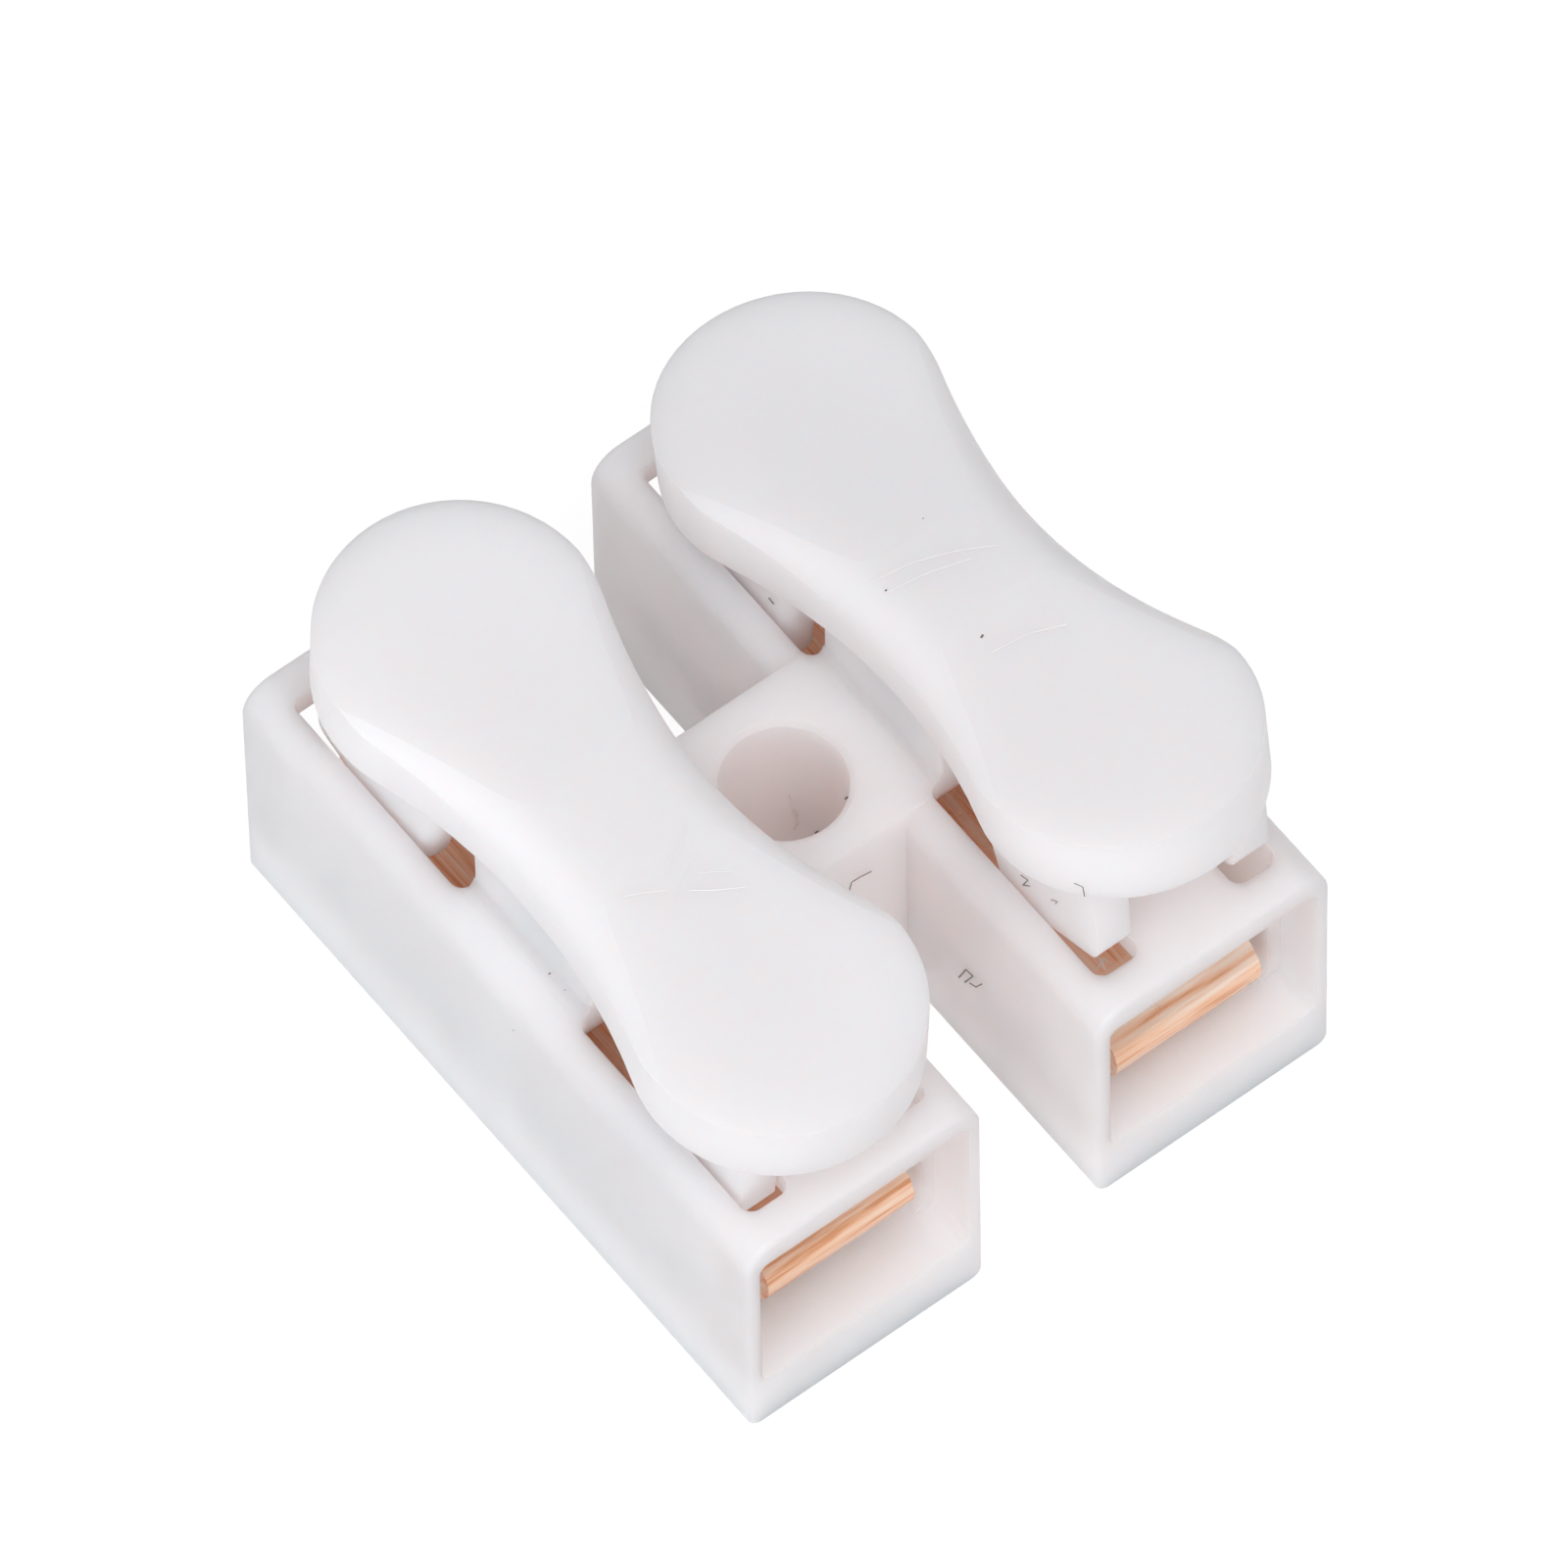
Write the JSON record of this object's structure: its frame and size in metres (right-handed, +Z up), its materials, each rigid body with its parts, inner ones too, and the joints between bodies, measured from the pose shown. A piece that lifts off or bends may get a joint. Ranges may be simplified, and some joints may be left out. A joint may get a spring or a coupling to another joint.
{
  "type": "push-in wire connector",
  "caption": "Two-pole wire connector with rocking levers that open sprung contacts in two open tubes joined by a web with a screw hole.",
  "frame": {"origin": "centre of the screw hole at the base", "axes": "+X across the poles to the right, +Y along the wires to the back, +Z up"},
  "size_m": [0.0178, 0.0203, 0.0137],
  "materials": {
    "nylon": "satin",
    "contact_copper": "polished",
    "spring_steel": "satin"
  },
  "bodies": {
    "housing": {"housing": "nylon", "spring_left": "spring_steel", "spring_right": "spring_steel"},
    "lever_left": {"lever_left": "nylon"},
    "lever_right": {"lever_right": "nylon"},
    "contact_bar_left": {"contact_bar_left": "contact_copper"},
    "contact_bar_right": {"contact_bar_right": "contact_copper"}
  },
  "joints": [
    {"name": "lever_left_rock", "type": "hinge", "parent": "housing", "child": "lever_left", "pos_m": [-0.00528, -0.00035, 0.00965], "axis": [1, 0, 0], "range_deg": [-16.3, 8.7]},
    {"name": "lever_right_rock", "type": "hinge", "parent": "housing", "child": "lever_right", "pos_m": [0.00528, -0.00035, 0.00965], "axis": [1, 0, 0], "range_deg": [-5.8, 19.2]},
    {"name": "contact_left_lift", "type": "slide", "parent": "housing", "child": "contact_bar_left", "axis": [0, 0, 1], "range_m": [-0.0009, 0.0007], "stiffness_N_per_m": 1500, "deforming": ["spring_left"]},
    {"name": "contact_right_lift", "type": "slide", "parent": "housing", "child": "contact_bar_right", "axis": [0, 0, 1], "range_m": [-0.00035, 0.00125], "stiffness_N_per_m": 1500, "deforming": ["spring_right"]}
  ]
}
